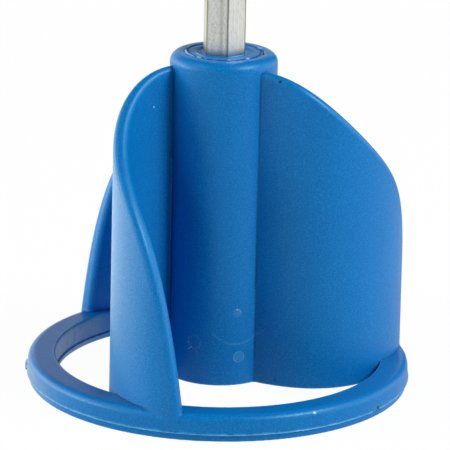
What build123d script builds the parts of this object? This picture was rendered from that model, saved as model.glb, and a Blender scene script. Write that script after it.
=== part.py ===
from build123d import *
from math import comb
import os

# Mixing paddle: a moulded plastic head (foot ring, three curved blades, hub) on a hexagonal steel shank.
# Frame: origin on the shank's axis in the plane the foot ring rests on, +Z up along the shank.
# All lengths are in millimetres and all angles in degrees.

# Driving dimensions
SHANK_FLATS = 8.0        # width across the flats of the hexagonal bar
SHANK_TOP = 400.0        # overall length of the paddle, ring to the end of the shank
RING_RADIUS = 40.0       # the ring's widest radius, at the mould's parting line
RING_HEIGHT = 5.5
RING_OPENING = 34.0      # radius of the opening inside the ring, at its top edge
HUB_TOP = 70.0
HUB_RADIUS = 11.0
BLADE_COUNT = 3

# Mould details
PARTING_Z = 1.5          # height of the parting line round the ring
FOOT_Z = 1.75            # underside of the hub and the blades, just above the parting line
DRAFT = 0.2              # how much a moulded wall leans over its height, each side
PARTING_LIP = 0.2        # how far the parting line stands out from the wall above it
LEDGE = 0.5              # step in the ring's inner wall
LEDGE_Z = 1.2            # height of that step
FINE_ROUND = 0.4         # small rounds on moulded edges
RING_ROUND = 1.6         # round on the ring's outer top edge
HUB_ROUND = 2.0          # round on the hub's top rim
ROOT_FILLET = 0.4        # fillet where a blade joins the hub
GATE_RADIUS = 3.0        # dimple under the hub, where the plastic was injected
GATE_DEPTH = 0.6

# Blade: a drafted sheet that stands on its plan curve and is cut off at its free edge.
# The free edge is one Bezier curve in space, from inside the hub's wall to the ring,
# and the plan curve is the same curve seen from above.
BLADE_EDGE = [
    (-9.0, -2.2, 67.8),
    (-29.4, -14.4, 68.8),
    (-18.2, -29.8, 34.1),
    (-13.8, -36.8, 59.5),
    (-6.1, -37.6, 0.0),
]
BLADE_HALF_FOOT = 1.8    # half of the blade's thickness at its foot
BLADE_HALF_TOP = 1.4     # and at the height of the hub's top
BLADE_ROUND = 1.3        # round on both sides of the free edge
CURVE_STEPS = 24         # points taken along each side of a blade
OVERRUN = 0.02           # how far the cut along the free edge runs past the sheet, in its parameter

# Hub core: the insert moulded round the shank before the head is moulded round the core.
CORE_RADIUS = 8.1
CORE_BOTTOM = 7.0
CORE_GROOVE_DEPTH = 0.8
CORE_GROOVE_WIDTH = 4.0
CORE_GROOVES_Z = (22.0, 50.0)
KEY_WIDTH = 3.0          # lengthwise slots that stop the core turning in the head
KEY_DEPTH = 1.0
KEY_BOTTOM = 10.0
KEY_TOP = 60.0
SEAM_CHAMFER = 0.2
RECESS_RADIUS = 5.9      # shallow dish in the core's top, round the shank
RECESS_FLOOR_RADIUS = 5.0
RECESS_DEPTH = 0.25

# Shank
SHANK_BOTTOM = 12.0
SHANK_TURN = 8.0         # a corner of the hexagon points this far round from -Y towards +X
SHANK_CHAMFER = 1.0
SHANK_GROOVE_RADIUS = 3.6
SHANK_GROOVE_WIDTH = 3.0
SHANK_GROOVES_Z = (20.0, 36.0, 52.0)

SEAT = 0.02              # gap left between pieces that are moulded or pressed together


def bezier(t):
    """Point of the blade's free edge at parameter t, from 0 at the hub to 1 at the ring."""
    degree = len(BLADE_EDGE) - 1
    point = Vector(0, 0, 0)
    for i, control in enumerate(BLADE_EDGE):
        point += Vector(*control) * (comb(degree, i) * (1 - t) ** (degree - i) * t**i)
    return point


def towards_hollow_side(t):
    """Unit vector, level and square to the blade's plan curve, that points to the hollow side."""
    step = 1e-4
    along = bezier(t + step) - bezier(t - step)
    return Vector(-along.Y, along.X, 0).normalized()


def beside_edge(t, distance):
    return bezier(t) + towards_hollow_side(t) * distance


def side_curve(distance, first, last, height=None):
    """Curve at a distance from the free edge; a height drops it into a level plane."""
    points = []
    for i in range(CURVE_STEPS + 1):
        point = beside_edge(first + (last - first) * i / CURVE_STEPS, distance)
        points.append(Vector(point.X, point.Y, point.Z if height is None else height))
    return Spline(*points)


def blade_section(height, half_thickness):
    """Level cross-section of the blade's sheet."""
    hollow = side_curve(half_thickness, 0, 1, height)
    crowned = side_curve(-half_thickness, 0, 1, height)
    ends = [Line(hollow @ 0, crowned @ 0), Line(hollow @ 1, crowned @ 1)]
    return make_face([hollow, crowned, *ends])


def make_blade():
    """One blade: the drafted sheet below its free edge, with that edge rounded on both sides."""
    foot = blade_section(FOOT_Z, BLADE_HALF_FOOT)
    top = blade_section(HUB_TOP, BLADE_HALF_TOP)
    sheet = loft([foot, top], ruled=True)
    reach = 2 * BLADE_HALF_FOOT
    rims = [side_curve(side * reach, -OVERRUN, 1 + OVERRUN) for side in (-1, 1)]
    below_edge = extrude(Face.make_surface_from_curves(*rims), amount=2 * HUB_TOP, dir=(0, 0, -1))
    blade = sheet & below_edge
    free_edges = [
        edge for edge in blade.edges()
        if edge.geom_type != GeomType.LINE and edge.bounding_box().size.Z > HUB_TOP / 2
    ]
    return fillet(free_edges, BLADE_ROUND)


def make_ring():
    """The foot ring: its walls draw in above and below the parting line, which stands out as a lip."""
    wall = RING_RADIUS - PARTING_LIP
    outline = Polyline(
        (RING_OPENING - LEDGE + DRAFT, 0),
        (RING_OPENING - LEDGE, LEDGE_Z),
        (RING_OPENING - DRAFT / 2, LEDGE_Z),
        (RING_OPENING, RING_HEIGHT),
        (wall - DRAFT, RING_HEIGHT),
        (wall, PARTING_Z + PARTING_LIP),
        (RING_RADIUS, PARTING_Z),
        (wall - PARTING_LIP, PARTING_Z - PARTING_LIP),
        (wall - PARTING_LIP - DRAFT, 0),
        close=True,
    )
    section = make_face(outline)
    inner_top, outer_top = section.vertices().group_by(Axis.Y)[-1].sort_by(Axis.X)
    feet = section.vertices().group_by(Axis.Y)[0]
    section = fillet(outer_top, RING_ROUND)
    section = fillet(section.vertices().sort_by_distance(inner_top)[0], FINE_ROUND)
    for foot in feet:
        section = fillet(section.vertices().sort_by_distance(foot)[0], FINE_ROUND / 2)
    return revolve(Plane.XZ * section, Axis.Z)


def make_hub():
    """The hub as a solid post with a slight draft and a rounded top rim."""
    foot = Plane.XY.offset(FOOT_Z) * Circle(HUB_RADIUS + DRAFT)
    rim = Plane.XY.offset(HUB_TOP) * Circle(HUB_RADIUS)
    hub = loft([foot, rim])
    return fillet(hub.edges().group_by(Axis.Z)[-1], HUB_ROUND)


def root_edges(solid):
    """The edges where the blades' faces and free edges run into the hub's wall."""
    found = []
    for edge in solid.edges().filter_by(GeomType.BSPLINE):
        ends_and_middle = [edge @ 0, edge @ 0.5, edge @ 1]
        off_wall = max(abs(Vector(p.X, p.Y, 0).length - HUB_RADIUS) for p in ends_and_middle)
        if off_wall < 2 * DRAFT and edge.bounding_box().max.Z > HUB_TOP / 2:
            found.append(edge)
    return found


def make_head():
    """The one-piece moulding: hub, blades and ring, less the room the core fills."""
    blade = make_blade()
    blades = [Rot(0, 0, place * 360 / BLADE_COUNT) * blade for place in range(BLADE_COUNT)]
    head = make_hub() + blades
    head = fillet(root_edges(head), ROOT_FILLET)
    head += make_ring()
    head -= core_body(SEAT)
    gate_dimple = Plane.XY.offset(FOOT_Z) * Circle(GATE_RADIUS)
    return head - extrude(gate_dimple, GATE_DEPTH)


def ring_cutter(middle_z, width, inner_radius, outer_radius):
    """A flat ring that turns a groove into a round or hexagonal body."""
    ring = Circle(outer_radius) - Circle(inner_radius)
    return extrude(Plane.XY.offset(middle_z - width / 2) * ring, width)


def core_body(gap):
    """Outer shape of the hub core, grown by a gap on every side."""
    radius = CORE_RADIUS - SEAT + gap
    floor = CORE_BOTTOM - gap
    body = extrude(Plane.XY.offset(floor) * Circle(radius), HUB_TOP - floor)
    for z in CORE_GROOVES_Z:
        body -= ring_cutter(z, CORE_GROOVE_WIDTH - 2 * gap, radius - CORE_GROOVE_DEPTH, 2 * radius)
    slot = Box(2 * KEY_DEPTH, KEY_WIDTH - 2 * gap, KEY_TOP - KEY_BOTTOM - 2 * gap)
    slot_height = Pos(0, 0, (KEY_TOP + KEY_BOTTOM) / 2)
    for place in PolarLocations(radius, BLADE_COUNT):
        body -= slot_height * place * slot
    return body


def shank_body(gap):
    """The hexagonal bar with its turned grooves, grown by a gap on every side."""
    half_flats = SHANK_FLATS / 2 + gap
    bottom = SHANK_BOTTOM - gap
    hexagon = RegularPolygon(half_flats, 6, major_radius=False)
    turned_hexagon = Rot(0, 0, SHANK_TURN - 90) * hexagon
    bar = extrude(Plane.XY.offset(bottom) * turned_hexagon, SHANK_TOP - bottom)
    for z in SHANK_GROOVES_Z:
        bar -= ring_cutter(z, SHANK_GROOVE_WIDTH - 2 * gap, SHANK_GROOVE_RADIUS + gap, 2 * half_flats)
    return bar


def make_core():
    """The insert: its seam shows on the hub's top, and a shallow dish surrounds the shank."""
    core = core_body(0)
    top_rim = core.edges().filter_by(GeomType.CIRCLE).group_by(Axis.Z)[-1]
    core = chamfer(top_rim, SEAM_CHAMFER)
    dish = Cone(RECESS_FLOOR_RADIUS, RECESS_RADIUS, RECESS_DEPTH)
    core -= Pos(0, 0, HUB_TOP - RECESS_DEPTH / 2) * dish
    return core - shank_body(SEAT)


def make_shank():
    """The bar, with both of its ends turned to a short cone."""
    corner = SHANK_FLATS / 3**0.5
    small = corner - SHANK_CHAMFER
    blank = [
        (0, SHANK_BOTTOM),
        (small, SHANK_BOTTOM),
        (corner, SHANK_BOTTOM + SHANK_CHAMFER),
        (corner, SHANK_TOP - SHANK_CHAMFER),
        (small, SHANK_TOP),
        (0, SHANK_TOP),
    ]
    turned = revolve(Plane.XZ * make_face(Polyline(*blank, close=True)), Axis.Z)
    return shank_body(0) & turned


os.makedirs("parts", exist_ok=True)
parts = {"head": make_head(), "hub_core": make_core(), "shank": make_shank()}
for node, solid in parts.items():
    export_step(solid, f"parts/{node}.step")
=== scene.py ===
import math

import bpy
import numpy as np
from mathutils import Matrix, Vector


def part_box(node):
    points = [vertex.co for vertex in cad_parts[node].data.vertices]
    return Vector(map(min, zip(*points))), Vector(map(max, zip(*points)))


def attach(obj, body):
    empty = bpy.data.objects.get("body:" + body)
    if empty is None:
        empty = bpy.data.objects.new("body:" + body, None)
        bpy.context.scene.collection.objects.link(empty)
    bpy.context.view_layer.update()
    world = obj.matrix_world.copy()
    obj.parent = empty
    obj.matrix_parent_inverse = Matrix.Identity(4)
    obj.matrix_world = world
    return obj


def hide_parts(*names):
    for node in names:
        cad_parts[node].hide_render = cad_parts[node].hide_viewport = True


# Mixing paddle: a moulded blue head (ring, three curved blades, hub) round an insert on a hexagonal bar.
# Shapes are worked out in millimetres, in the CAD's frame, and written to meshes in metres.
MM = 0.001

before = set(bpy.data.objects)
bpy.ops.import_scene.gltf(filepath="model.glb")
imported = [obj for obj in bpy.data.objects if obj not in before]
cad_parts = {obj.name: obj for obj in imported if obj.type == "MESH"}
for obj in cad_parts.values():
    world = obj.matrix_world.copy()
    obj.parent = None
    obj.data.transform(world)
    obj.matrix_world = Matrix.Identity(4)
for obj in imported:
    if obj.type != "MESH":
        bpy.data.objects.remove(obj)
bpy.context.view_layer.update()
ring_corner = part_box("head")[1] / MM
bar_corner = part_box("shank")[1] / MM
core_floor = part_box("hub_core")[0].z / MM
bar_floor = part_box("shank")[0].z / MM

# Head, with the CAD's measures. Only its small rounds and fillets differ a little from the CAD's, and the
# stub and the root relief are not in the CAD.
RING_RADIUS = ring_corner.x
HUB_TOP = ring_corner.z
RING_HEIGHT = 5.5
RING_OPENING = 34.0          # radius of the opening, at the ring's top edge
HUB_RADIUS = 11.0
FOOT_Z = 1.75                # underside of the hub and the blades
PARTING_Z = 1.5              # where the two halves of the ring's mould meet
DRAFT = 0.2                  # how much a moulded wall leans over its height
PARTING_LIP = 0.2            # how far the parting line stands out from the wall above it
LEDGE = 0.5                  # step in the ring's inner wall, and its height
LEDGE_Z = 1.2
LEDGE_LIP_ROUND = 0.12
LEDGE_FOOT_ROUND = 0.05
RING_ROUND = 1.6
HUB_ROUND = 2.0
ROOT_FILLET = 0.3            # where the blades join the hub
CREASE_FILLET = 0.25         # where the blades run into the ring
STUB_REACH = 0.32            # broken-off gate on the ring's rim: how far it stands out
STUB_HALF_WIDTH = 0.9
STUB_LOW = 0.7               # heights of its two ends
STUB_HIGH = 2.6
STUB_ROUND = 0.3
SOFT_EDGE = 0.35             # rounding of edges that the design leaves sharp
BLADE_COUNT = 3
BLADE_EDGE = [               # control points of a blade's free edge, from the hub to the ring
    (-9.0, -2.2, 67.8),
    (-29.4, -14.4, 68.8),
    (-18.2, -29.8, 34.1),
    (-13.8, -36.8, 59.5),
    (-6.1, -37.6, 0.0),
]
BLADE_HALF_FOOT = 1.8        # half of the blade's thickness at its foot
BLADE_HALF_TOP = 1.4         # and at the height of the hub's top
BLADE_ROUND = 1.35           # on both sides of the free edge
ROOT_RELIEF = 0.9            # how much thinner the blade is at the hub, on its crowned side
RELIEF_END = 0.3             # where along the free edge that ends, as a share of its parameter

# Insert, with the CAD's measures
CORE_RADIUS = 8.1
CORE_GROOVE_DEPTH = 0.8
CORE_GROOVE_WIDTH = 4.0
CORE_GROOVES_Z = (22.0, 50.0)
KEY_WIDTH = 3.0
KEY_DEPTH = 1.0
KEY_BOTTOM = 10.0
KEY_TOP = 60.0
SEAT = 0.02                  # gap between pieces that are moulded or pressed together


# ---------------------------------------------------------------------------------------------------------
# Fields: a field is the signed distance to a surface, negative inside
# ---------------------------------------------------------------------------------------------------------

def round_union(a, b, radius):
    """Union of two fields, with a fillet in the corner between them."""
    spare = np.hypot(np.maximum(radius - a, 0), np.maximum(radius - b, 0))
    return np.maximum(radius, np.minimum(a, b)) - spare


def round_intersection(a, b, radius):
    """Intersection of two fields, with a round on the edge between them."""
    spare = np.hypot(np.maximum(radius + a, 0), np.maximum(radius + b, 0))
    return np.minimum(-radius, np.maximum(a, b)) + spare


def polygon_field(u, v, outline):
    """Signed distance from points (u, v) to a closed outline, negative inside."""
    nearest = np.full(u.shape, np.inf)
    inside = np.zeros(u.shape, bool)
    for (u0, v0), (u1, v1) in zip(outline, np.roll(outline, -1, axis=0)):
        du, dv = u1 - u0, v1 - v0
        share = np.clip(((u - u0) * du + (v - v0) * dv) / (du * du + dv * dv), 0, 1)
        nearest = np.minimum(nearest, np.hypot(u - u0 - share * du, v - v0 - share * dv))
        if dv:
            crossed = (v0 > v) != (v1 > v)
            inside ^= crossed & (u < u0 + (v - v0) * du / dv)
    return np.where(inside, -nearest, nearest)


class Chart:
    """A quantity kept on an even grid and read between its points."""

    def __init__(self, low, high, step, quantity):
        self.low = low
        self.step = step
        axes = [np.arange(a, b + step, step) for a, b in zip(low, high)]
        self.last = [len(axis) - 2 for axis in axes]
        self.values = quantity(*np.meshgrid(*axes, indexing="ij")).astype(np.float32)

    def __call__(self, u, v):
        places = []
        for value, low, last in zip((u, v), self.low, self.last):
            place = np.clip((value - low) / self.step, 0, last + 0.999)
            index = place.astype(np.int32)
            places.append((index, (place - index).astype(np.float32)))
        (i, a), (j, b) = places
        grid = self.values
        near = grid[i, j] * (1 - a) + grid[i + 1, j] * a
        far = grid[i, j + 1] * (1 - a) + grid[i + 1, j + 1] * a
        return near * (1 - b) + far * b


def rounded_outline(corners, steps=6):
    """Closed outline through (u, v, radius) corners, each cut by an arc of its radius."""
    points = []
    count = len(corners)
    for i, (u, v, radius) in enumerate(corners):
        here = np.array((u, v))
        back = np.array(corners[i - 1][:2]) - here
        ahead = np.array(corners[(i + 1) % count][:2]) - here
        back /= np.hypot(*back)
        ahead /= np.hypot(*ahead)
        half = math.acos(np.clip(back @ ahead, -1, 1)) / 2
        if radius == 0:
            points.append(here)
            continue
        middle = (back + ahead) / np.hypot(*(back + ahead))
        centre = here + middle * radius / math.sin(half)
        start = here + back * radius / math.tan(half) - centre
        end = here + ahead * radius / math.tan(half) - centre
        for k in range(steps + 1):
            spoke = start * (1 - k / steps) + end * (k / steps)
            points.append(centre + spoke * radius / np.hypot(*spoke))
    return np.array(points)


# ---------------------------------------------------------------------------------------------------------
# Head
# ---------------------------------------------------------------------------------------------------------

def bezier(t):
    """Points of the blade's free edge, one row for each parameter."""
    degree = len(BLADE_EDGE) - 1
    return sum(
        np.outer(math.comb(degree, i) * (1 - t) ** (degree - i) * t**i, control)
        for i, control in enumerate(BLADE_EDGE)
    )


RUN_ON = 14.0                # straight length added to both ends of the blade's plan curve
RUN_ON_POINTS = 100
ROOT_OVERLAP = 1.0           # how far a blade's sheet runs on inside the hub
EDGE_POINTS = 500
OUTLINE_EVERY = 3            # the sheet's outline takes every third of those points
edge_shares = np.linspace(0, 1, EDGE_POINTS)
edge_line = bezier(edge_shares)
edge_steps = np.diff(edge_line[:, :2], axis=0)
edge_lengths = np.concatenate([[0], np.cumsum(np.hypot(*edge_steps.T))])
BLADE_LENGTH = edge_lengths[-1]


def plan_curve():
    """The blade's plan curve with straight run-ons: points, unit directions and lengths from the hub end."""
    directions = np.gradient(edge_line[:, :2], axis=0)
    directions /= np.hypot(*directions.T)[:, None]
    run = np.linspace(RUN_ON, 0, RUN_ON_POINTS, endpoint=False)
    first = edge_line[0, :2] - np.outer(run, directions[0])
    last = edge_line[-1, :2] + np.outer(run[::-1], directions[-1])
    points = np.vstack([first, edge_line[:, :2], last])
    ways = np.vstack([
        np.tile(directions[0], (RUN_ON_POINTS, 1)), directions, np.tile(directions[-1], (RUN_ON_POINTS, 1)),
    ])
    lengths = np.concatenate([-run, edge_lengths, BLADE_LENGTH + run[::-1]])
    return points.astype(np.float32), ways, lengths


def beside_plan_curve(x, y):
    """Distance from the plan curve, positive on the hollow side, and length along it."""
    points, ways, lengths = plan_curve()
    nearest = np.empty(x.shape, np.int32)
    for row in range(len(x)):
        gaps = (x[row, :, None] - points[:, 0]) ** 2 + (y[row, :, None] - points[:, 1]) ** 2
        nearest[row] = gaps.argmin(axis=1)
    dx = x - points[nearest, 0]
    dy = y - points[nearest, 1]
    way_x, way_y = ways[nearest, 0], ways[nearest, 1]
    return dy * way_x - dx * way_y, lengths[nearest] + dx * way_x + dy * way_y


def free_edge_outline():
    """The blade's sheet laid flat: length along the plan curve against height, below its free edge."""
    edge = np.column_stack([edge_lengths, edge_line[:, 2]])[::OUTLINE_EVERY]
    edge = np.vstack([edge, [BLADE_LENGTH, 0]])
    corners = [(BLADE_LENGTH, -RUN_ON), (-ROOT_OVERLAP, -RUN_ON), (-ROOT_OVERLAP, edge_line[0, 2])]
    return np.vstack([edge, corners])


def ring_outline():
    """Cross-section of the foot ring, radius against height."""
    wall = RING_RADIUS - PARTING_LIP
    foot_round = SOFT_EDGE / 2
    return rounded_outline([
        (RING_OPENING - LEDGE + DRAFT, 0, foot_round),
        (RING_OPENING - LEDGE, LEDGE_Z, LEDGE_LIP_ROUND),
        (RING_OPENING - DRAFT / 2, LEDGE_Z, LEDGE_FOOT_ROUND),
        (RING_OPENING, RING_HEIGHT, SOFT_EDGE),
        (wall - DRAFT, RING_HEIGHT, RING_ROUND),
        (wall, PARTING_Z + PARTING_LIP, 0),
        (RING_RADIUS, PARTING_Z, 0),
        (wall - PARTING_LIP, PARTING_Z - PARTING_LIP, 0),
        (wall - PARTING_LIP - DRAFT, 0, foot_round),
    ])


CHART_MARGIN = 2.0           # how far a chart runs on past what it describes
PLAN_STEP = 0.3              # spacing of the charts' points
EDGE_STEP = 0.25
RING_STEP = 0.05
REACH = RING_RADIUS + CHART_MARGIN
plan_side = Chart((-REACH, -REACH), (REACH, REACH), PLAN_STEP, lambda x, y: beside_plan_curve(x, y)[0])
plan_length = Chart((-REACH, -REACH), (REACH, REACH), PLAN_STEP, lambda x, y: beside_plan_curve(x, y)[1])
edge_chart = Chart(
    (-RUN_ON, -CHART_MARGIN), (BLADE_LENGTH + 2 * CHART_MARGIN, HUB_TOP + CHART_MARGIN), EDGE_STEP,
    lambda along, z: polygon_field(along, z, free_edge_outline()),
)
ring_chart = Chart(
    (RING_OPENING - CHART_MARGIN, -CHART_MARGIN / 2),
    (RING_RADIUS + CHART_MARGIN, RING_HEIGHT + CHART_MARGIN), RING_STEP,
    lambda r, z: polygon_field(r, z, ring_outline()),
)


def blade_field(x, y, z):
    """One blade: a drafted sheet along the plan curve, thinner at the hub, rounded along its free edge."""
    side = plan_side(x, y)
    along = plan_length(x, y)
    half = BLADE_HALF_FOOT + (BLADE_HALF_TOP - BLADE_HALF_FOOT) * (z - FOOT_Z) / (HUB_TOP - FOOT_Z)
    relief = ROOT_RELIEF * np.interp(along, edge_lengths, np.maximum(1 - edge_shares / RELIEF_END, 0) ** 2)
    sheet = np.maximum(side - half, relief - side - half)
    blade = round_intersection(sheet, edge_chart(along, z), BLADE_ROUND)
    return round_intersection(blade, FOOT_Z - z, SOFT_EDGE)


def hub_field(r, z):
    """The hub's outside: a drafted post with a rounded top rim."""
    wall = r - HUB_RADIUS - DRAFT * (HUB_TOP - z) / HUB_TOP
    hub = round_intersection(wall, z - HUB_TOP, HUB_ROUND)
    return round_intersection(hub, FOOT_Z - z, SOFT_EDGE)


def ring_field(r, z):
    """The foot ring. Far from it, where its chart ends, a plain distance takes over."""
    near = ring_chart(r, z)
    past = np.maximum(RING_OPENING - CHART_MARGIN - r, z - RING_HEIGHT - CHART_MARGIN)
    return np.where(past > 0, past + CHART_MARGIN, near)


def stub_field(x, y, z):
    """What is left of a gate on the ring's rim, at its left end: a small rounded block."""
    depth = 2 * STUB_REACH
    sides = (
        np.abs(x + RING_RADIUS + STUB_REACH - depth) - depth,
        np.abs(y) - STUB_HALF_WIDTH,
        np.maximum(z - STUB_HIGH, STUB_LOW - z),
    )
    outside = sum(np.maximum(side + STUB_ROUND, 0) ** 2 for side in sides) ** 0.5
    inside = np.minimum(np.maximum(np.maximum(*sides[:2]), sides[2]) + STUB_ROUND, 0)
    return outside + inside - STUB_ROUND


def core_field(x, y, z, gap):
    """The room that the insert fills in the head, grown by a gap."""
    r = np.hypot(x, y)
    radius = CORE_RADIUS - SEAT + gap
    core = np.maximum(r - radius, core_floor - gap - z)
    for middle in CORE_GROOVES_Z:
        groove = np.maximum(np.abs(z - middle) - CORE_GROOVE_WIDTH / 2 + gap, radius - CORE_GROOVE_DEPTH - r)
        core = np.maximum(core, -groove)
    key_middle = (KEY_TOP + KEY_BOTTOM) / 2
    for place in range(BLADE_COUNT):
        turn = 2 * math.pi * place / BLADE_COUNT
        out = x * math.cos(turn) + y * math.sin(turn)
        across = y * math.cos(turn) - x * math.sin(turn)
        key = np.maximum(np.abs(across) - KEY_WIDTH / 2 + gap, radius - KEY_DEPTH - out)
        key = np.maximum(key, np.abs(z - key_middle) - (KEY_TOP - KEY_BOTTOM) / 2 + gap)
        core = np.maximum(core, -key)
    return core


def head_field(x, y, z):
    """The one-piece moulding."""
    r = np.hypot(x, y)
    head = hub_field(r, z)
    blades = np.full(head.shape, np.inf)
    for place in range(BLADE_COUNT):
        turn = 2 * math.pi * place / BLADE_COUNT
        cos, sin = math.cos(turn), math.sin(turn)
        blades = np.minimum(blades, blade_field(x * cos + y * sin, y * cos - x * sin, z))
    head = round_union(head, blades, ROOT_FILLET)
    head = round_union(head, ring_field(r, z), CREASE_FILLET)
    head = round_union(head, stub_field(x, y, z), 2 * CREASE_FILLET)
    return np.maximum(head, -core_field(x, y, z, SEAT))


def surface_net(values, axes):
    """Closed quad mesh of a field's zero level: one corner in each grid cell that the surface crosses."""
    inside = values < 0
    size = tuple(n - 1 for n in values.shape)
    corners = [(i, j, k) for i in (0, 1) for j in (0, 1) for k in (0, 1)]
    count = np.zeros(size, np.int8)
    for i, j, k in corners:
        count += inside[i:i + size[0], j:j + size[1], k:k + size[2]]
    cells = np.argwhere((count > 0) & (count < len(corners)))
    number = np.full(size, -1, np.int32)
    number[tuple(cells.T)] = np.arange(len(cells))

    total = np.zeros((len(cells), 3))
    hits = np.zeros(len(cells))
    for corner in corners:
        for axis in range(3):
            if corner[axis]:
                continue
            start = cells + corner
            end = start.copy()
            end[:, axis] += 1
            here, there = values[tuple(start.T)], values[tuple(end.T)]
            crossed = (here < 0) != (there < 0)
            share = np.where(crossed, here / np.where(crossed, here - there, 1), 0)
            point = np.column_stack([axes[k][start[:, k]] for k in range(3)])
            point[:, axis] += share * (axes[axis][end[:, axis]] - axes[axis][start[:, axis]])
            total += point * crossed[:, None]
            hits += crossed
    points = total / hits[:, None]

    quads = []
    for axis in range(3):
        step = np.diff(inside.astype(np.int8), axis=axis)
        edges = np.argwhere(step)
        leaving = step[tuple(edges.T)] < 0
        u, v = (axis + 1) % 3, (axis + 2) % 3
        loop = []
        for du, dv in ((-1, -1), (0, -1), (0, 0), (-1, 0)):
            cell = edges.copy()
            cell[:, u] += du
            cell[:, v] += dv
            loop.append(number[tuple(cell.T)])
        loop = np.column_stack(loop)
        quads.append(np.where(leaving[:, None], loop, loop[:, ::-1]))
    return points, np.vstack(quads)


def slope(field, points, step=0.03):
    """Outward direction of a field at points."""
    columns = []
    for axis in range(3):
        offset = np.zeros(3)
        offset[axis] = step
        ahead = field(*(points + offset).T)
        behind = field(*(points - offset).T)
        columns.append((ahead - behind) / (2 * step))
    return np.column_stack(columns)


def settle(field, points, rounds=3, longest=0.3):
    """Points moved onto a field's zero level."""
    for _ in range(rounds):
        way = slope(field, points)
        steepness = np.maximum((way**2).sum(axis=1), 0.05)
        move = -(field(*points.T) / steepness)[:, None] * way
        length = np.maximum(np.hypot(np.hypot(move[:, 0], move[:, 1]), move[:, 2]), 1e-9)
        points = points + move * np.minimum(1, longest / length)[:, None]
    return points


def sample_field(field, axes):
    """A field on the whole grid, worked out a few columns at a time."""
    x, y = (side.ravel() for side in np.meshgrid(axes[0], axes[1], indexing="ij"))
    values = np.empty((x.size, axes[2].size), np.float32)
    batch = 2000
    for first in range(0, x.size, batch):
        part = slice(first, first + batch)
        values[part] = field(x[part, None], y[part, None], axes[2][None, :])
    return values.reshape(len(axes[0]), len(axes[1]), len(axes[2]))


def make_mesh(name, points, faces, node):
    """A piece of the object, from millimetre points, that stands for a CAD node."""
    mesh = bpy.data.meshes.new(name)
    mesh.from_pydata((points * MM).tolist(), [], faces)
    mesh.polygons.foreach_set("use_smooth", np.ones(len(mesh.polygons), bool))
    mesh.update()
    piece = bpy.data.objects.new(name, mesh)
    bpy.context.scene.collection.objects.link(piece)
    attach(piece, "root")
    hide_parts(node)
    return piece


GRID = 0.45                  # grid of the head's surface net
NET_MARGIN = 1.25            # how far the grid runs on past the ring
NET_TOP = HUB_TOP + 1.2
RING_GRID = 0.22             # finer height steps at the ring, between these two heights
RING_NET_BOTTOM = -0.55
RING_NET_TOP = RING_HEIGHT + 0.6
KEPT_SHARE = 0.5             # share of the net's faces that are kept
BUSY_REACH = 0.9             # where the surface bends more than this, over this reach, no face is given up
BUSY_BEND = 0.25
BEND_REACH = 0.35            # reach of the bend that the plastic's wear, painted crease shade and painted edge highlights follow
NORMAL_STEP = 0.05


def bend_of(field, points, reach):
    """How sharply a field bends at points: above 0 on edges, below 0 in creases, near 0 on broad faces."""
    spread = -6 * field(*points.T)
    for axis in range(3):
        for way in (-reach, reach):
            offset = np.zeros(3)
            offset[axis] = way
            spread += field(*(points + offset).T)
    return spread / reach**2


def set_bend(piece, bends):
    """Bends kept on a piece's corners, for its material to read."""
    attribute = piece.data.attributes.new("bend", "FLOAT", "POINT")
    attribute.data.foreach_set("value", np.asarray(bends, np.float32))


def thinned(points, quads, busy):
    """The net with fewer faces. Nothing is taken from its busy parts, only from broad faces."""
    mesh = bpy.data.meshes.new("net")
    mesh.from_pydata(points.tolist(), [], quads.tolist())
    carrier = bpy.data.objects.new("net", mesh)
    bpy.context.scene.collection.objects.link(carrier)
    broad = carrier.vertex_groups.new(name="broad")
    broad.add(np.flatnonzero(~busy).tolist(), 1.0, "REPLACE")
    thin = carrier.modifiers.new("thin", "DECIMATE")
    thin.ratio = KEPT_SHARE
    thin.vertex_group = broad.name
    thin.vertex_group_factor = 0.01  # the group guards its corners, it doesn't steer the rest
    shape = carrier.evaluated_get(bpy.context.evaluated_depsgraph_get()).to_mesh()
    kept = np.empty(3 * len(shape.vertices))
    shape.vertices.foreach_get("co", kept)
    faces = [tuple(face.vertices) for face in shape.polygons]
    bpy.data.objects.remove(carrier)
    bpy.data.meshes.remove(mesh)
    return kept.reshape(-1, 3), faces


def make_head():
    """The moulding: a net over its field, thinned, with the field's own slopes as its normals."""
    side = np.arange(-RING_RADIUS - NET_MARGIN, RING_RADIUS + NET_MARGIN, GRID)
    low = np.arange(RING_NET_BOTTOM, RING_NET_TOP, RING_GRID)
    high = np.arange(low[-1] + GRID, NET_TOP, GRID)
    axes = (side, side, np.concatenate([low, high]))
    points, quads = surface_net(sample_field(head_field, axes), axes)
    points = settle(head_field, points)
    busy = np.abs(bend_of(head_field, points, BUSY_REACH)) > BUSY_BEND
    points, faces = thinned(points, quads, busy)
    points = settle(head_field, points, rounds=2)
    head = make_mesh("head_moulding", points, faces, "head")
    normals = slope(head_field, points, NORMAL_STEP)
    normals /= np.maximum(np.sqrt((normals**2).sum(axis=1)), 1e-6)[:, None]
    head.data.normals_split_custom_set_from_vertices(normals.tolist())
    set_bend(head, bend_of(head_field, points, BEND_REACH))
    return head


# ---------------------------------------------------------------------------------------------------------
# Insert and bar: both are stacks of loops round the axis, closed by a point at each end
# ---------------------------------------------------------------------------------------------------------

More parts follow.
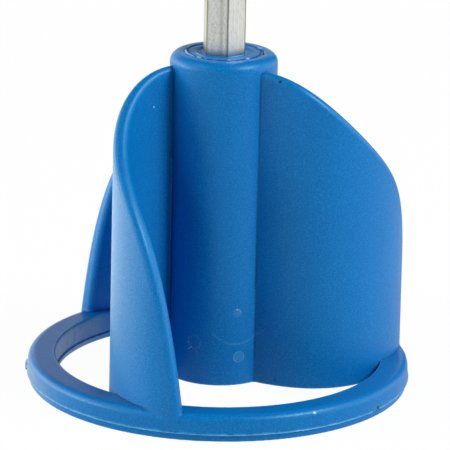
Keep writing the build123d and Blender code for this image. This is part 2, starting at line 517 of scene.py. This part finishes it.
def stack_loops(angles, loops):
    """Closed mesh through loops of (radii, heights), each a number or one value for each angle."""
    count = len(angles)
    points = []
    for radii, heights in loops:
        radii = np.broadcast_to(radii, count)
        heights = np.broadcast_to(heights, count)
        points.append(np.column_stack([radii * np.cos(angles), radii * np.sin(angles), heights]))
    first_z = float(np.mean(points[0][:, 2]))
    last_z = float(np.mean(points[-1][:, 2]))
    points = np.vstack([*points, [(0, 0, first_z), (0, 0, last_z)]])
    faces = []
    for row in range(len(loops) - 1):
        for i in range(count):
            j = (i + 1) % count
            low, high = row * count, (row + 1) * count
            faces.append((low + i, low + j, high + j, high + i))
    start, end = len(points) - 2, len(points) - 1
    top = (len(loops) - 1) * count
    for i in range(count):
        j = (i + 1) % count
        faces.append((start, j, i))
        faces.append((end, top + i, top + j))
    return points, faces


BAR_FLATS = 8.0
BAR_TURN = 8.0               # a corner of the hexagon points this far round from -Y towards +X
BAR_CORNER_ROUND = 0.3
BAR_CHAMFER = 1.0
BAR_GROOVE_RADIUS = 3.6
BAR_GROOVE_WIDTH = 3.0
BAR_GROOVES_Z = (20.0, 36.0, 52.0)
BAR_TOP = bar_corner.z
BAR_CORNER = BAR_FLATS / math.sqrt(3)
FACE_SHARES = (0.03, 0.25, 0.5, 0.75, 0.97)  # where each face of the hexagon has its points
CHAMFER_LOOPS = 6
KNOCK_SEED = 5
KNOCK_DEPTH = 0.05           # deepest knock on the bar's corners
KNOCK_RARITY = 6             # the higher, the fewer deep knocks there are
KNOCK_STEP = 2.0             # height between knocks
KNOCKS_BELOW = 4.0           # how far below the hub's top they start
KNOCKED_FROM = 1.08 * BAR_FLATS / 2  # knocks fade out between a corner and this radius
END_SHARES = (0.8, 0.45)     # loops on the bar's top face, as shares of its outline
BAR_SHARP_ANGLE = 40


def bar_section():
    """Angles and radii round the bar's rounded hexagon, closer together beside its corners."""
    turns = [math.radians(BAR_TURN - 90 + 60 * k) for k in range(6)]
    corners = [(BAR_CORNER * math.cos(a), BAR_CORNER * math.sin(a), BAR_CORNER_ROUND) for a in turns]
    outline = rounded_outline(corners, steps=4)
    points = []
    for here, there in zip(outline, np.roll(outline, -1, axis=0)):
        points.append(here)
        if np.hypot(*(there - here)) > BAR_CORNER_ROUND:
            points.extend(here + (there - here) * share for share in FACE_SHARES)
    points = np.array(points)
    angles = np.arctan2(points[:, 1], points[:, 0])
    order = np.argsort(angles)
    return angles[order], np.hypot(*points[order].T)


bar_angles, bar_radii = bar_section()


def bar_radius(angles):
    """Radius of the bar's section in any direction."""
    return np.interp(angles, bar_angles, bar_radii, period=2 * math.pi)


def make_bar():
    """The bar: chamfered ends, turned grooves inside the hub, corners a little uneven from handling."""
    rng = np.random.default_rng(KNOCK_SEED)
    end_radius = BAR_CORNER - BAR_CHAMFER
    loops = []
    for z in np.linspace(0, BAR_CHAMFER, CHAMFER_LOOPS):
        loops.append((np.minimum(bar_radii, end_radius + z), bar_floor + z))
    for middle in BAR_GROOVES_Z:
        low, high = middle - BAR_GROOVE_WIDTH / 2, middle + BAR_GROOVE_WIDTH / 2
        groove = np.minimum(bar_radii, BAR_GROOVE_RADIUS)
        loops += [(bar_radii, low), (groove, low), (groove, high), (bar_radii, high)]
    near_corner = np.clip((bar_radii - KNOCKED_FROM) / (BAR_CORNER - KNOCKED_FROM), 0, 1)
    for z in np.arange(HUB_TOP - KNOCKS_BELOW, BAR_TOP - 2 * BAR_CHAMFER, KNOCK_STEP):
        knocks = rng.random(len(bar_radii)) ** KNOCK_RARITY
        loops.append((bar_radii - KNOCK_DEPTH * knocks * near_corner, z))
    for z in np.linspace(BAR_CHAMFER, 0, CHAMFER_LOOPS):
        loops.append((np.minimum(bar_radii, end_radius + z), BAR_TOP - z))
    for share in END_SHARES:
        loops.append((share * end_radius, BAR_TOP))
    points, faces = stack_loops(bar_angles, loops)
    bar = make_mesh("steel_bar", points, faces, "shank")
    bar.data.set_sharp_from_angle(angle=math.radians(BAR_SHARP_ANGLE))
    return bar


DISH_RADIUS = 5.9
DISH_FLOOR_RADIUS = 5.0
DISH_DEPTH = 0.25
INSERT_ANGLES = 360
INSERT_SHARP_ANGLE = 60
SEAM_FACETS = 8              # the seam is a little faceted
FACET_DEPTH = 0.07
FACET_TURN = 0.3
# Directions round the insert are in degrees: 0 is -Y and 90 is +X.
# Uneven flash along the seam: (direction, half angle, height in mm)
FLASH = (
    (-72, 26, 0.26), (-40, 5, 0.34), (-28, 3, 0.16), (-14, 3, 0.12), (8, 4, 0.14),
    (38, 4, 0.26), (112, 7, 0.30), (140, 14, 0.12), (-130, 16, 0.14), (-165, 10, 0.10),
)
LEAST_FLASH = 0.02
PROUD_FLASH = 0.04           # flash higher than this looks rubbed
# Painted highlight arcs on the edges of the dish and of the hole, given as extra bend: (direction, half
# angle, bend)
DISH_HIGHLIGHT_ARC = (-60, 45, 3.2)
COLLAR_HIGHLIGHT_ARC = (38, 35, 3.2)
# Bends written along the insert's profile; the grooves' bend paints shade into them
GROOVE_SHADE_BEND = -3
DISH_EDGE = 1.6
DISH_FOOT = -0.6
COLLAR_EDGE = 2


def angle_apart(angles, direction):
    """How far angles are from a direction, which is measured from -Y."""
    other = math.radians(direction - 90)
    return np.abs((angles - other + math.pi) % (2 * math.pi) - math.pi)


def highlight_arc_bend(angles, direction, half_angle, bend):
    """A bend that fades to nothing on both sides of a direction."""
    return bend * np.maximum(1 - angle_apart(angles, direction) / math.radians(half_angle), 0)


def insert_side(angles):
    """The insert's side from its underside to just below its top: key slots and grooves."""
    outer = CORE_RADIUS - SEAT
    slots = np.zeros(len(angles))
    for place in range(BLADE_COUNT):
        off = angle_apart(angles, 90 + 360 * place / BLADE_COUNT) * CORE_RADIUS
        slots[off < KEY_WIDTH / 2] = KEY_DEPTH
    slotted = outer - slots
    waist = np.minimum(outer - CORE_GROOVE_DEPTH, slotted)
    loops = [(0.6 * outer, core_floor), (outer, core_floor), (outer, KEY_BOTTOM), (slotted, KEY_BOTTOM)]
    for middle in CORE_GROOVES_Z:
        low, high = middle - CORE_GROOVE_WIDTH / 2, middle + CORE_GROOVE_WIDTH / 2
        loops += [(slotted, low), (waist, low), (waist, high), (slotted, high)]
    loops += [(slotted, KEY_TOP), (outer, KEY_TOP), (outer, HUB_TOP - 1)]
    return [(*loop, 0) for loop in loops]


def insert_top(angles, hole):
    """The insert's top, from the seam inwards and down the hole. A loop's third value is its bend.

    The steps along the profile are in millimetres. The flash adds to some of them, in shares of its height.
    """
    flash = np.full(len(angles), LEAST_FLASH)
    for direction, half_angle, height in FLASH:
        apart = angle_apart(angles, direction) / math.radians(half_angle)
        flash = np.maximum(flash, height * np.sqrt(np.maximum(1 - apart**2, 0)))
    proud = 30 * (flash - PROUD_FLASH)
    facets = FACET_DEPTH * np.abs(np.sin(SEAM_FACETS / 2 * (angles - FACET_TURN)))
    edge = CORE_RADIUS - SEAT - 0.02 - facets
    inner = edge - 0.22 - 1.3 * flash
    # Extra bend that paints highlight arcs on the dish's edge and on the hole's edge
    dish_highlight = highlight_arc_bend(angles, *DISH_HIGHLIGHT_ARC)
    collar_highlight = highlight_arc_bend(angles, *COLLAR_HIGHLIGHT_ARC)
    dish_floor = HUB_TOP - DISH_DEPTH
    # Loops with the grooves' bend get painted shade, those with the arcs' bend get painted highlight
    return [
        (edge, HUB_TOP - 0.30, GROOVE_SHADE_BEND),
        (edge, HUB_TOP - 0.12, GROOVE_SHADE_BEND),
        (edge + 0.3 * flash, HUB_TOP + flash * 0.3, proud),
        (edge + 0.1 * flash, HUB_TOP + flash * 0.85, proud),
        (edge - 0.06, HUB_TOP + flash, proud),
        (edge - 0.12 - 0.8 * flash, HUB_TOP + flash * 0.8, proud),
        (inner, HUB_TOP - 0.02, 0),
        (inner - 0.08, HUB_TOP - 0.10, GROOVE_SHADE_BEND),
        (inner - 0.20, HUB_TOP - 0.10, GROOVE_SHADE_BEND),
        (inner - 0.36, HUB_TOP - 0.01, GROOVE_SHADE_BEND),
        (inner - 0.55, HUB_TOP, 0),
        (DISH_RADIUS + 0.30, HUB_TOP, 0),
        (DISH_RADIUS + 0.06, HUB_TOP - 0.01, DISH_EDGE + dish_highlight),
        (DISH_RADIUS - 0.06, HUB_TOP - 0.05, DISH_EDGE + dish_highlight),
        (DISH_RADIUS - 0.40, HUB_TOP - 0.14, 0.9 * dish_highlight),
        (DISH_FLOOR_RADIUS + 0.15, dish_floor + 0.02, DISH_FOOT),
        (np.maximum(DISH_FLOOR_RADIUS - 0.05, hole + 0.3), dish_floor, 0),
        (hole + 0.16, dish_floor + 0.02, collar_highlight),
        (hole + 0.05, dish_floor + 0.10, COLLAR_EDGE + collar_highlight),
        (hole, dish_floor + 0.15, COLLAR_EDGE + collar_highlight),
        (hole, HUB_TOP - 4, 0),
        (hole, bar_floor - SEAT, 0),
    ]


def make_insert():
    """The insert round the bar. Its top shows a dish, the seam and the flash along it."""
    even = np.linspace(-math.pi, math.pi, INSERT_ANGLES, endpoint=False)
    angles = np.unique(np.concatenate([even, bar_angles]))
    loops = insert_side(angles) + insert_top(angles, bar_radius(angles) + SEAT)
    points, faces = stack_loops(angles, [loop[:2] for loop in loops])
    insert = make_mesh("hub_insert", points, faces, "hub_core")
    insert.data.set_sharp_from_angle(angle=math.radians(INSERT_SHARP_ANGLE))
    bends = np.concatenate([np.broadcast_to(loop[2], len(angles)) for loop in loops])
    set_bend(insert, np.append(bends, (0, 0)))
    return insert


# ---------------------------------------------------------------------------------------------------------
# Materials
# ---------------------------------------------------------------------------------------------------------

class Paint:
    """A material's nodes, with a short call for each kind used here."""

    def __init__(self, name):
        self.material = bpy.data.materials.new(name)
        self.material.use_nodes = True
        self.tree = self.material.node_tree
        self.shader = self.tree.nodes["Principled BSDF"]
        self.place = self.node("TexCoord").outputs["Object"]

    def feed(self, socket, value):
        """A value, or another node's output, into a socket."""
        if isinstance(value, bpy.types.NodeSocket):
            self.tree.links.new(value, socket)
        else:
            socket.default_value = value

    def node(self, kind, inputs=None, **settings):
        node = self.tree.nodes.new("ShaderNode" + kind)
        for key, value in settings.items():
            setattr(node, key, value)
        for key, value in (inputs or {}).items():
            self.feed(node.inputs[key], value)
        return node

    def math(self, operation, a, b=0.0):
        return self.node("Math", {0: a, 1: b}, operation=operation).outputs[0]

    def times(self, first, *others):
        """Product of two or more values."""
        for other in others:
            first = self.math("MULTIPLY", first, other)
        return first

    def noise(self, size, detail=2.0, stretch=(1, 1, 1), roughness=0.5):
        """Soft noise from 0 to 1 whose patches are about size millimetres across."""
        scale = self.node("Mapping", {"Vector": self.place, "Scale": [k / (size * MM) for k in stretch]})
        inputs = {"Vector": scale.outputs[0], "Scale": 1.0, "Detail": detail, "Roughness": roughness}
        return self.node("TexNoise", inputs).outputs["Fac"]

    def ramp(self, value, low, high, to_low=0.0, to_high=1.0):
        """A value's share of the way from low to high, turned into one from to_low to to_high."""
        inputs = {"Value": value, "From Min": low, "From Max": high, "To Min": to_low, "To Max": to_high}
        return self.node("MapRange", inputs, clamp=True).outputs["Result"]

    def within(self, value, low, high, to_low=1.0, to_high=0.0):
        """A ramp between two lengths in millimetres. It falls from 1 to 0 unless told otherwise."""
        return self.ramp(value, low * MM, high * MM, to_low, to_high)

    def beyond(self, value, low, high):
        """0 up to one length in millimetres, 1 from another length on."""
        return self.ramp(value, low * MM, high * MM)

    def off(self, value, middle):
        """How far a length is from a middle, which is in millimetres."""
        return self.math("ABSOLUTE", self.math("SUBTRACT", value, middle * MM))

    def mix(self, share, a, b):
        """Colour a, with a share of colour b."""
        return self.node("Mix", {0: share, 6: a, 7: b}, data_type="RGBA").outputs[2]

    def distance(self, point):
        """Distance from a point, which is in millimetres."""
        where = self.node("VectorMath", {0: self.place, 1: [c * MM for c in point]}, operation="DISTANCE")
        return where.outputs["Value"]

    def dot(self, vector, direction):
        return self.node("VectorMath", {0: vector, 1: direction}, operation="DOT_PRODUCT").outputs["Value"]

    def along(self, direction):
        """How far a place lies along a direction."""
        return self.dot(self.place, direction)

    def facing(self, direction):
        """Cosine of the angle between the surface's outward direction and the given one."""
        return self.dot(self.node("NewGeometry").outputs["Normal"], direction)

    def radius(self):
        """How far a place is from the vertical axis."""
        flat = self.node("VectorMath", {0: self.place, 1: (1, 1, 0)}, operation="MULTIPLY").outputs["Vector"]
        return self.node("VectorMath", {0: flat}, operation="LENGTH").outputs["Value"]

    def bump(self, height, depth, before=None):
        """Bump of a depth in millimetres, on top of the one before."""
        inputs = {"Height": height, "Distance": depth * MM, "Strength": 1.0}
        if before is not None:
            inputs["Normal"] = before
        return self.node("Bump", inputs).outputs["Normal"]

    def finish(self, **inputs):
        """The material, with values given to its shader's inputs."""
        for key, value in inputs.items():
            self.feed(self.shader.inputs[key.replace("_", " ")], value)
        return self.material


LEFT = (-1, 0, 0)
BACK = (0, 1, 0)
UP = (0, 0, 1)


def level_direction(degrees):
    """Level direction; 0 is -Y and 90 is +X."""
    turn = math.radians(degrees)
    return (math.sin(turn), -math.cos(turn), 0)


BLUE = (0.0004, 0.155, 0.470, 1)
BLUE_DEEP = (0.0002, 0.108, 0.370, 1)
CREASE_SHADE_BLUE = (0.0002, 0.038, 0.150, 1)
BLUE_PALE = (0.006, 0.285, 0.640, 1)
SHEEN = (0.45, 0.80, 1.0, 1)
WEAR_AND_HIGHLIGHT_BLUE = (0.160, 0.540, 0.860, 1)
BRUISE = (0.350, 0.560, 0.720, 1)
HAZE = (0.120, 0.360, 0.600, 1)
PAINTED_SHEEN_GREY = (0.420, 0.510, 0.530, 1)
PAINTED_SHEEN_GREEN = (0.330, 0.570, 0.480, 1)
DIRT = (0.012, 0.030, 0.040, 1)
RUST = (0.250, 0.120, 0.050, 1)
HEAD_ROUGHNESS = 0.34
INSERT_ROUGHNESS = 0.40
ROUGHNESS_SPREAD = 0.09

# Marks on the head: (x, y, z, radius) in millimetres
WITNESS_RINGS = ((3.8, -10.5, 17.4, 0.80), (4.3, -10.3, 7.9, 1.10))
FAINT_RINGS = ((-4.9, -10.1, 10.9, 1.40), (4.0, -10.5, 17.3, 6.60))
WITNESS_HALF_WIDTH = 0.20
FAINT_HALF_WIDTH = 0.34
DARK_SPECKS = (
    (5.5, -9.5, 68.4, 0.15), (11.4, -9.8, 66.3, 0.32), (11.9, -10.5, 3.1, 0.22),
    (32.9, -22.7, 1.8, 0.50), (32.3, -23.3, 1.4, 0.35), (31.6, -24.0, 1.5, 0.30),
)
PALE_NICKS = (
    (-13.9, -7.8, 60.0, 0.22), (19.6, -34.2, 4.7, 0.30),
    (-6.0, -9.5, 9.3, 0.13), (-5.6, -9.7, 9.6, 0.10), (-6.1, -9.4, 10.6, 0.09), (-6.0, -9.5, 11.7, 0.10),
    (3.8, -10.5, 18.2, 0.12),
)
RUST_SPOT = (-4.4, -10.3, 8.7, 0.20)
LIP_MIDDLE = PARTING_Z + 0.15  # height of the parting lip's pale line, partly rubbed wear and partly painted highlight
CREASE_SHADE_FADE_FROM = 7.5      # the painted crease shade is lighter below this height, where the blades meet the ring
CREASE_SHADE_FADE_TO = 6.2


def near_marks(paint, marks, wobble):
    """1 inside any of the marks, 0 away from them; their outlines wobble a little."""
    near = 0.0
    for *point, radius in marks:
        away = paint.math("ADD", paint.distance(point), wobble)
        near = paint.math("MAXIMUM", paint.within(away, 0.7 * radius, 1.2 * radius), near)
    return near


def on_rings(paint, rings, half_width):
    """1 on the outline of any of the rings, 0 away from it."""
    near = 0.0
    for *point, radius in rings:
        away = paint.off(paint.distance(point), radius)
        near = paint.math("MAXIMUM", paint.within(away, 0.3 * half_width, half_width), near)
    return near


def lip_wear_and_highlight(paint):
    """Paler patches along the ring's parting lip: partly rubbed wear, partly a painted highlight."""
    on_lip = paint.within(paint.off(paint.along(UP), LIP_MIDDLE), 0.10, 0.35)
    on_rim = paint.beyond(paint.radius(), RING_RADIUS - 0.5, RING_RADIUS - 0.3)
    return paint.times(on_lip, on_rim, paint.ramp(paint.noise(1.5, 3), 0.35, 0.65, 0.0, 0.35))


def ring_painted_sheen(paint, patches):
    """Painted sheen: paler grey on the left end of the ring's outer wall, and on its inner wall, fading to
    the right.
    """
    left, height, radius = paint.along(LEFT), paint.along(UP), paint.radius()
    outer = paint.times(
        paint.math("POWER", paint.beyond(left, RING_RADIUS - 11, RING_RADIUS), 2.0),
        paint.beyond(radius, RING_RADIUS - 1.0, RING_RADIUS - 0.6),
        paint.within(height, 3.6, 5.2),
    )
    inner = paint.times(
        paint.within(left, 22, 33, 0.1, 1.4),
        paint.within(radius, RING_OPENING + 0.3, RING_OPENING + 0.7),
        paint.beyond(radius, RING_OPENING - 1.0, RING_OPENING - 0.7),
        paint.within(height, RING_HEIGHT - 0.1, RING_HEIGHT + 0.1),
    )
    return paint.times(paint.math("MAXIMUM", outer, inner), paint.ramp(patches, 0.3, 0.7, 0.35, 0.60))


def left_painted_sheen(paint, grain):
    """Painted sheen on what faces left, on the front left blade; less near its foot, and none on the hub."""
    return paint.times(
        paint.ramp(paint.facing(LEFT), 0.6, 1.0, 0.0, 0.25),
        paint.within(paint.along(BACK), -14, -8),
        paint.within(paint.along(UP), 7, 25, 0.4, 1.0),
        paint.beyond(paint.radius(), HUB_RADIUS + 1, HUB_RADIUS + 2),
        paint.ramp(grain, 0.3, 0.7, 0.5, 1.0),
    )


def blue_plastic(name, roughness):
    """Satin moulded plastic: cloudy colour, fine grain, paler edges that are partly rubbed wear and partly
    painted highlight, painted shade in creases, painted sheen on the left, small marks.
    """
    paint = Paint(name)
    clouds = paint.noise(18, 3)
    grain = paint.noise(0.24, 1)
    patches = paint.noise(2.5, 4)
    colour = paint.mix(paint.ramp(clouds, 0.3, 0.7, 0.0, 0.35), BLUE, BLUE_DEEP)
    colour = paint.mix(paint.ramp(grain, 0.3, 0.5, 0.5, 0.0), colour, BLUE_DEEP)
    colour = paint.mix(paint.ramp(grain, 0.45, 0.75, 0.0, 0.55), colour, BLUE_PALE)

    bend = paint.node("Attribute", attribute_name="bend").outputs["Fac"]
    # Paler convex edges: partly rubbed wear, partly painted highlight on the lip and on the insert's arcs
    edges = paint.times(paint.ramp(bend, 0.5, 2.5), paint.ramp(patches, 0.35, 0.65, 0.2, 0.6))
    colour = paint.mix(edges, colour, BLUE_PALE)
    # Parting lip: rubbed wear with a painted highlight
    colour = paint.mix(lip_wear_and_highlight(paint), colour, WEAR_AND_HIGHLIGHT_BLUE)
    # Painted sheen on the ring's left end
    colour = paint.mix(ring_painted_sheen(paint, patches), colour, PAINTED_SHEEN_GREY)
    # Painted sheen on the front left blade's left side
    colour = paint.mix(left_painted_sheen(paint, grain), colour, PAINTED_SHEEN_GREEN)
    # Sharpest edges paler still: rubbed wear with painted highlight
    sharp_wear_and_highlight = paint.times(paint.ramp(bend, 1.8, 4.0), paint.ramp(patches, 0.3, 0.6, 0.4, 1.0))
    colour = paint.mix(sharp_wear_and_highlight, colour, WEAR_AND_HIGHLIGHT_BLUE)
    # Painted shade: creases are darkened, less so low down where the blades meet the ring
    depth = paint.within(paint.along(UP), CREASE_SHADE_FADE_TO, CREASE_SHADE_FADE_FROM, 0.45, 0.9)
    painted_crease_shade = paint.times(paint.ramp(bend, -0.7, -3.0), depth)
    colour = paint.mix(painted_crease_shade, colour, CREASE_SHADE_BLUE)

    wobble = paint.ramp(paint.noise(0.3, 2), 0.3, 0.7, -0.1 * MM, 0.1 * MM)
    broken = paint.ramp(paint.noise(1.6, 2), 0.35, 0.6, 0.10, 0.65)
    rings = paint.times(on_rings(paint, WITNESS_RINGS, WITNESS_HALF_WIDTH), broken)
    hazy = paint.times(near_marks(paint, WITNESS_RINGS, wobble), 0.20)
    colour = paint.mix(paint.math("MAXIMUM", rings, hazy), colour, HAZE)
    low = paint.within(paint.along(UP), 12.5, 14.0, 0.35, 0.0)
    colour = paint.mix(paint.times(on_rings(paint, FAINT_RINGS, FAINT_HALF_WIDTH), low, broken), colour, HAZE)
    colour = paint.mix(near_marks(paint, DARK_SPECKS, wobble), colour, DIRT)
    colour = paint.mix(near_marks(paint, PALE_NICKS, wobble), colour, BRUISE)
    colour = paint.mix(near_marks(paint, [RUST_SPOT], 0.0), colour, RUST)

    rough = paint.ramp(paint.noise(0.9, 3), 0.3, 0.7, roughness, roughness + ROUGHNESS_SPREAD)
    # Creases with painted shade are also made less shiny
    shine = paint.ramp(painted_crease_shade, 0.0, 0.9, 0.45, 0.1)
    normal = paint.bump(paint.noise(6, 2), 0.02)
    normal = paint.bump(paint.noise(0.26, 2), 0.020, normal)
    normal = paint.bump(rings, 0.03, normal)
    return paint.finish(
        Base_Color=colour, Roughness=rough, Normal=normal, Specular_IOR_Level=shine, Specular_Tint=SHEEN,
    )


ZINC_DULL = (0.66, 0.67, 0.65, 1)
ZINC_BRIGHT = (0.80, 0.81, 0.80, 1)
ZINC_MOTTLE = (0.42, 0.44, 0.42, 1)
ZINC_SPOT = (0.42, 0.43, 0.40, 1)
YELLOW_FILM = (0.66, 0.64, 0.44, 1)
GREEN_FILM = (0.58, 0.62, 0.36, 1)
DRAWING_GREY = (0.33, 0.33, 0.29, 1)
CORNER_BROWN = (0.14, 0.11, 0.05, 1)
FOOT_SHADE_AND_REFLECTION = (0.08, 0.14, 0.19, 1)
CORNER_START = 4.44          # from this far out the bar's corners carry a thicker film, in millimetres
CORNER_END = 4.56
DULL_FACE = -22.0            # direction of the bar's duller face
FILMED_FACE = -82.0          # direction of the face with most of the film
FACE_START = 3.6             # a place this far out in a face's direction starts to belong to it
FACE_END = 3.9
DIE_LINE = 0.9               # where a dark drawing line runs along the dull face, from its middle
FOOT_HEIGHT = 1.4            # how high the painted shade and blue reflection reach up the bar above the hub


def zinc_plate(name):
    """Zinc on drawn steel: fine lengthwise streaks, mottled patches, a film that gathers on corners, and
    painted shade with a blue reflection at its foot.
    """
    paint = Paint(name)
    streaks = paint.noise(0.30, 4, (1, 1, 0.03), 0.6)
    mottle = paint.noise(0.55, 4, (1, 1, 0.6), 0.65)
    film = paint.noise(7, 3, (1, 1, 0.25))
    colour = paint.mix(paint.ramp(streaks, 0.3, 0.7), ZINC_DULL, ZINC_BRIGHT)
    colour = paint.mix(paint.ramp(mottle, 0.52, 0.72, 0.0, 0.6), colour, ZINC_MOTTLE)
    colour = paint.mix(paint.ramp(film, 0.45, 0.75, 0.0, 0.35), colour, YELLOW_FILM)

    dull = paint.beyond(paint.along(level_direction(DULL_FACE)), FACE_START, FACE_END)
    spots = paint.ramp(paint.noise(0.35, 3, (1, 1, 0.7)), 0.5, 0.68, 0.3, 0.85)
    colour = paint.mix(paint.times(dull, spots), colour, ZINC_SPOT)
    filmed = paint.within(paint.along(level_direction(FILMED_FACE)), FACE_START, FACE_END, 0.0, 0.45)
    colour = paint.mix(filmed, colour, GREEN_FILM)
    off_line = paint.off(paint.along(level_direction(DULL_FACE + 90)), DIE_LINE)
    colour = paint.mix(paint.times(dull, paint.within(off_line, 0.1, 0.6, 0.55)), colour, DRAWING_GREY)
    corner = paint.beyond(paint.radius(), CORNER_START, CORNER_END)
    colour = paint.mix(paint.times(corner, paint.ramp(film, 0.35, 0.6, 0.6, 1.0)), colour, CORNER_BROWN)
    # Painted shade and a painted blue reflection where the bar stands in the hub
    foot_painted_shade = paint.within(paint.off(paint.along(UP), HUB_TOP), 0.0, FOOT_HEIGHT, 0.8)
    colour = paint.mix(foot_painted_shade, colour, FOOT_SHADE_AND_REFLECTION)

    rough = paint.ramp(mottle, 0.3, 0.7, 0.30, 0.46)
    normal = paint.bump(streaks, 0.006)
    normal = paint.bump(paint.noise(0.5, 3), 0.008, normal)
    return paint.finish(Base_Color=colour, Roughness=rough, Normal=normal, Metallic=1.0)


WHITE = (1, 1, 1, 1)
FLOOR_GREY = (0.3, 0.3, 0.3, 1)
FLOOR_ROUGHNESS = 0.9
FLOOR_GLOW = 0.42            # light that the floor gives back to the object
POOL_GLOW = 2.0              # and in the bright pool behind it, on the left
POOL = (-110, 100, 0)
POOL_RADIUS = 130
FLOOR_WHITE_SHARE = 0.97     # how much of the floor's look is plain white; the rest is lit by the softboxes


def floor_paper(name):
    """Pale studio paper. The camera sees it evenly white, with only a faint shadow left on it.

    To the object it is a darker floor that glows, so that little light comes up from below.
    """
    paint = Paint(name)
    glow = paint.within(paint.distance(POOL), 0.0, POOL_RADIUS, POOL_GLOW, FLOOR_GLOW)
    paint.finish(
        Base_Color=FLOOR_GREY, Roughness=FLOOR_ROUGHNESS, Specular_IOR_Level=0.0,
        Emission_Color=WHITE, Emission_Strength=glow,
    )
    shade = paint.ramp(paint.noise(400, 2), 0.3, 0.7, 0.90, 0.92)
    pale = paint.node("CombineColor", {0: shade, 1: shade, 2: shade}).outputs[0]
    lit = paint.node("BsdfDiffuse", {"Color": pale}).outputs[0]
    white = paint.node("Emission", {"Color": WHITE, "Strength": 1.0}).outputs[0]
    seen = paint.node("MixShader", {0: FLOOR_WHITE_SHARE, 1: lit, 2: white}).outputs[0]
    camera = paint.node("LightPath").outputs["Is Camera Ray"]
    surface = paint.node("MixShader", {0: camera, 1: paint.shader.outputs[0], 2: seen}).outputs[0]
    paint.feed(paint.tree.nodes["Material Output"].inputs["Surface"], surface)
    return paint.material


make_head().data.materials.append(blue_plastic("moulded_blue", HEAD_ROUGHNESS))
make_insert().data.materials.append(blue_plastic("insert_blue", INSERT_ROUGHNESS))
make_bar().data.materials.append(zinc_plate("zinc_plate"))

# ---------------------------------------------------------------------------------------------------------
# Studio
# ---------------------------------------------------------------------------------------------------------

FLOOR_HALF = 40.0            # metres, so that its far edge is out of every view
FLOOR_DROP = 0.02            # how far the floor lies below the ring
SOFTBOX_DISTANCE = 1.2       # metres, from the aim point
SOFTBOX_AIM = Vector((0, 0, 0.04))
# Softboxes round the object: (azimuth, elevation, watts, size in metres).
# Azimuth 0 is in front and 90 on the right.
SOFTBOXES = (
    (-90, 8, 10.2, 0.7),
    (-120, 8, 4.5, 0.7),
    (-90, 42, 1.4, 0.7),
    (-60, 42, 1.9, 0.3),
    (-60, 8, 1.8, 0.3),
    (-30, 8, 0.9, 0.3),
    (-150, 8, 1.6, 0.7),
    (180, 8, 1.6, 0.7),
    (120, 8, 2.2, 0.7),
    (90, 8, 2.6, 0.7),
    (90, 42, 1.4, 0.7),
    (60, 42, 11.2, 0.35),
    (60, 8, 1.6, 0.7),
)


def add_floor():
    half = FLOOR_HALF
    corners = [(-half, -half, 0), (half, -half, 0), (half, half, 0), (-half, half, 0)]
    mesh = bpy.data.meshes.new("floor")
    mesh.from_pydata(corners, [], [(0, 1, 2, 3)])
    mesh.materials.append(floor_paper("floor_paper"))
    floor = bpy.data.objects.new("floor", mesh)
    floor.location.z = -FLOOR_DROP * MM
    bpy.context.scene.collection.objects.link(floor)


def add_softbox(name, azimuth, elevation, watts, size):
    """Square area light that faces the aim point. The camera doesn't see it."""
    light = bpy.data.lights.new(name, "AREA")
    light.shape = "SQUARE"
    light.size = size
    light.energy = watts
    a, e = math.radians(azimuth), math.radians(elevation)
    back = Vector((math.sin(a) * math.cos(e), -math.cos(a) * math.cos(e), math.sin(e)))
    lamp = bpy.data.objects.new(name, light)
    lamp.location = SOFTBOX_AIM + back * SOFTBOX_DISTANCE
    lamp.rotation_euler = back.to_track_quat("Z", "Y").to_euler()
    lamp.visible_camera = False
    bpy.context.scene.collection.objects.link(lamp)


LENS = 263.4
SENSOR_WIDTH = 36
CAMERA_DISTANCE = 690.5
CAMERA_ELEVATION = 16.75
CAMERA_ROLL = 1.2
CAMERA_SHIFT = (1.575, 31.67)  # to the right and up, at right angles to the view


def add_camera():
    camera = bpy.data.objects.new("camera", bpy.data.cameras.new("camera"))
    bpy.context.scene.collection.objects.link(camera)
    e, roll = math.radians(CAMERA_ELEVATION), math.radians(CAMERA_ROLL)
    back = Vector((0, -math.cos(e), math.sin(e)))
    right = Vector((1, 0, 0))
    up = Vector((0, math.sin(e), math.cos(e)))
    tilted_right = right * math.cos(roll) + up * math.sin(roll)
    tilted_up = up * math.cos(roll) - right * math.sin(roll)
    place = (back * CAMERA_DISTANCE + tilted_right * CAMERA_SHIFT[0] + tilted_up * CAMERA_SHIFT[1]) * MM
    turn = Matrix((tilted_right, tilted_up, back)).transposed().to_4x4()
    camera.matrix_world = Matrix.Translation(place) @ turn
    camera.data.lens = LENS
    camera.data.sensor_width = SENSOR_WIDTH
    camera.data.clip_start = 0.01
    camera.data.clip_end = 100
    bpy.context.scene.camera = camera


add_floor()
for number, softbox in enumerate(SOFTBOXES):
    add_softbox(f"softbox_{number}", *softbox)
add_camera()
bpy.context.scene.view_settings.view_transform = "Standard"
